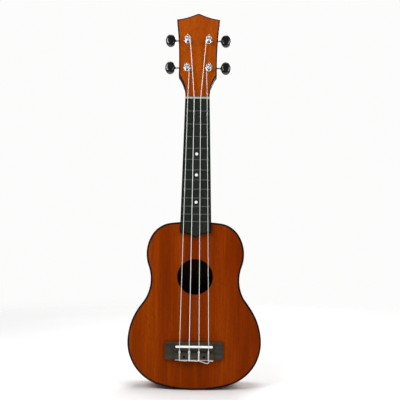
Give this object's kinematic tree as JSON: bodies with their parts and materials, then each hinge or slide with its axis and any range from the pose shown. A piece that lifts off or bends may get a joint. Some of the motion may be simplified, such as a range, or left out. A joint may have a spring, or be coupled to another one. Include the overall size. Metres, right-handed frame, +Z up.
{
  "type": "soprano ukulele",
  "caption": "Soprano ukulele with a waisted wooden body, tilted headstock, fretted neck, tie bridge and open-gear tuners whose buttons turn the posts through worms.",
  "frame": {"origin": "on the centreline, level with the tail end, at half of the instrument's depth", "axes": "+X to the right seen from the front, +Y towards the back, +Z up the neck to the headstock"},
  "size_m": [0.1868, 0.0716, 0.5335],
  "materials": {
    "body_wood": "satin mahogany plywood",
    "side_wood": "satin mahogany",
    "neck_wood": "satin mahogany",
    "veneer_wood": "satin mahogany, brighter",
    "inner_wood": "bare",
    "brace_wood": "bare spruce",
    "dark_wood": "dark satin",
    "bridge_wood": "dark satin",
    "black_binding": "satin black",
    "fret_wire": "nickel silver",
    "pearl_dots": "polished",
    "nut_white": "satin",
    "saddle_white": "satin",
    "nylon": "clear nylon",
    "chrome": "polished",
    "gear_metal": "plated",
    "steel_screws": "plated",
    "black_plugs": "gloss",
    "button_black": "gloss black"
  },
  "bodies": {
    "root": {"back": "body_wood", "back_binding": "black_binding", "back_braces": "brace_wood", "back_linings": "inner_wood", "bridge": "bridge_wood", "bridge_plate": "inner_wood", "bridge_screw_plugs": "black_plugs", "bridge_screws": "steel_screws", "bushings": "chrome", "fretboard": "dark_wood", "fretboard_binding": "black_binding", "frets": "fret_wire", "headstock_binding": "black_binding", "headstock_veneer": "veneer_wood", "heel_cap": "dark_wood", "mounting_screws": "chrome", "neck": "neck_wood", "neck_block": "inner_wood", "neck_dowels": "brace_wood", "nut": "nut_white", "position_dots": "pearl_dots", "saddle": "saddle_white", "side_left": "side_wood", "side_right": "side_wood", "soundboard": "body_wood", "string_a": "nylon", "string_c": "nylon", "string_e": "nylon", "string_g": "nylon", "tail_block": "inner_wood", "tie_block_strip": "saddle_white", "top_binding": "black_binding", "top_braces": "brace_wood", "top_linings": "inner_wood", "tuner_plates": "chrome"},
    "button_g": {"worm_shaft_g": "chrome", "button_g": "button_black"},
    "post_g": {"post_g": "chrome", "gear_g": "gear_metal", "gear_screw_g": "steel_screws", "string_coil_g": "nylon"},
    "button_c": {"worm_shaft_c": "chrome", "button_c": "button_black"},
    "post_c": {"post_c": "chrome", "gear_c": "gear_metal", "gear_screw_c": "steel_screws", "string_coil_c": "nylon"},
    "button_e": {"worm_shaft_e": "chrome", "button_e": "button_black"},
    "post_e": {"post_e": "chrome", "gear_e": "gear_metal", "gear_screw_e": "steel_screws", "string_coil_e": "nylon"},
    "button_a": {"worm_shaft_a": "chrome", "button_a": "button_black"},
    "post_a": {"post_a": "chrome", "gear_a": "gear_metal", "gear_screw_a": "steel_screws", "string_coil_a": "nylon"}
  },
  "joints": [
    {"name": "button_g_turn", "type": "hinge", "parent": "root", "child": "button_g", "pos_m": [-0.0153, 0.00297, 0.45573], "axis": [1, 0, 0], "continuous": true},
    {"name": "post_g_turn", "type": "hinge", "parent": "root", "child": "post_g", "pos_m": [-0.0153, -0.01507, 0.45169], "axis": [0, -0.9781, 0.2079], "continuous": true},
    {"name": "button_c_turn", "type": "hinge", "parent": "root", "child": "button_c", "pos_m": [-0.015, 0.01172, 0.49691], "axis": [1, 0, 0], "continuous": true},
    {"name": "post_c_turn", "type": "hinge", "parent": "root", "child": "post_c", "pos_m": [-0.015, -0.00631, 0.49287], "axis": [0, -0.9781, 0.2079], "continuous": true},
    {"name": "button_e_turn", "type": "hinge", "parent": "root", "child": "button_e", "pos_m": [0.015, 0.01172, 0.49691], "axis": [1, 0, 0], "continuous": true},
    {"name": "post_e_turn", "type": "hinge", "parent": "root", "child": "post_e", "pos_m": [0.015, -0.00631, 0.49287], "axis": [0, -0.9781, 0.2079], "continuous": true},
    {"name": "button_a_turn", "type": "hinge", "parent": "root", "child": "button_a", "pos_m": [0.0153, 0.00297, 0.45573], "axis": [1, 0, 0], "continuous": true},
    {"name": "post_a_turn", "type": "hinge", "parent": "root", "child": "post_a", "pos_m": [0.0153, -0.01507, 0.45169], "axis": [0, -0.9781, 0.2079], "continuous": true}
  ],
  "couplings": [
    {"joint": "post_g_turn", "follows": "button_g_turn", "ratio": 0.0625},
    {"joint": "post_c_turn", "follows": "button_c_turn", "ratio": 0.0625},
    {"joint": "post_e_turn", "follows": "button_e_turn", "ratio": 0.0625},
    {"joint": "post_a_turn", "follows": "button_a_turn", "ratio": 0.0625}
  ]
}
